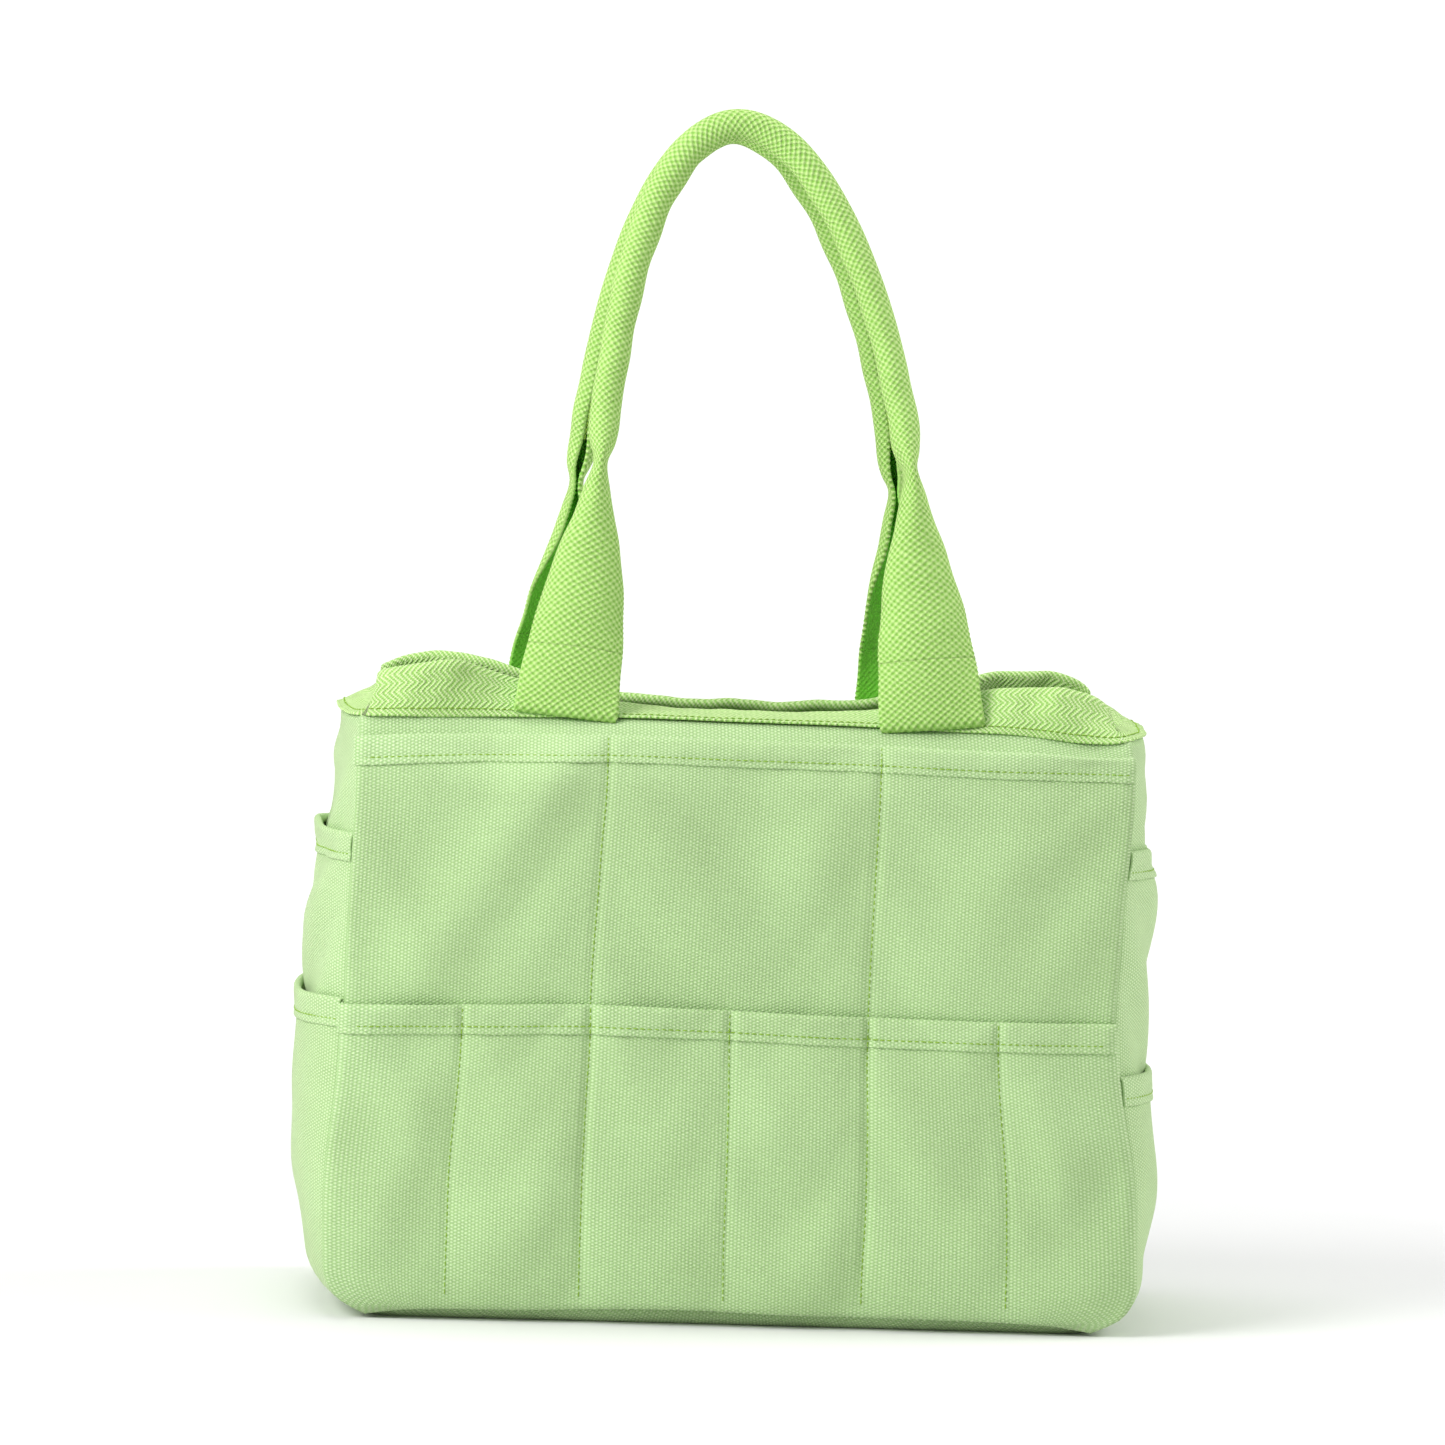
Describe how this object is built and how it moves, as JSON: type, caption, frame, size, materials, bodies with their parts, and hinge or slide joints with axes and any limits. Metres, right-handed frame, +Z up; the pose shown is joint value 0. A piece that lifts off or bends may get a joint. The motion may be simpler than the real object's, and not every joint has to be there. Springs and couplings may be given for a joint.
{
  "type": "garden tool bag",
  "caption": "Soft canvas tote for garden tools, with hemmed outer pockets on every side, a taped rim and two webbing handles with rolled grips that fold down outside.",
  "frame": {"origin": "on the floor, under the middle of the bag's outer box", "axes": "+Z up, the long front with the pockets faces -Y, +X to the right seen from the front"},
  "size_m": [0.3156, 0.1608, 0.4399],
  "materials": {
    "canvas": "matt plain-weave cotton canvas, pastel green",
    "webbing": "matt woven cotton webbing, lime green",
    "rim_tape": "matt herringbone cotton tape, lime green",
    "binding_tape": "matt cotton binding, light green",
    "thread": "satin sewing thread, yellow-green",
    "filler_cord": "matt cotton filler cord, off-white"
  },
  "bodies": {
    "bag": {"front_panel": "canvas", "back_panel": "canvas", "left_gusset": "canvas", "right_gusset": "canvas", "base_panel": "canvas", "front_upper_pockets": "canvas", "front_lower_pockets": "canvas", "back_upper_pockets": "canvas", "back_lower_pockets": "canvas", "left_upper_pocket": "canvas", "left_lower_pocket": "canvas", "right_upper_pocket": "canvas", "right_lower_pocket": "canvas", "rim_tape": "rim_tape", "front_left_binding": "binding_tape", "front_right_binding": "binding_tape", "back_left_binding": "binding_tape", "back_right_binding": "binding_tape", "base_binding": "binding_tape", "front_pocket_thread": "thread", "back_pocket_thread": "thread", "left_pocket_thread": "thread", "right_pocket_thread": "thread", "rim_thread": "thread"},
    "front_roots": {"front_strap_roots": "webbing"},
    "front_handle": {"front_handle_strap": "webbing", "front_handle_core": "filler_cord", "front_handle_thread": "thread"},
    "back_roots": {"back_strap_roots": "webbing"},
    "back_handle": {"back_handle_strap": "webbing", "back_handle_core": "filler_cord", "back_handle_thread": "thread"}
  },
  "joints": [
    {"name": "front_root_hinge", "type": "hinge", "parent": "bag", "child": "front_roots", "pos_m": [0, -0.047, 0.2175], "axis": [1, 0, 0], "range_deg": [0, 112]},
    {"name": "front_handle_bend", "type": "hinge", "parent": "front_roots", "child": "front_handle", "pos_m": [0, -0.04188, 0.24925], "axis": [1, 0, 0], "range_deg": [0, 70]},
    {"name": "back_root_hinge", "type": "hinge", "parent": "bag", "child": "back_roots", "pos_m": [0, 0.047, 0.2175], "axis": [-1, 0, 0], "range_deg": [0, 112]},
    {"name": "back_handle_bend", "type": "hinge", "parent": "back_roots", "child": "back_handle", "pos_m": [0, 0.04188, 0.24925], "axis": [-1, 0, 0], "range_deg": [0, 70]}
  ]
}
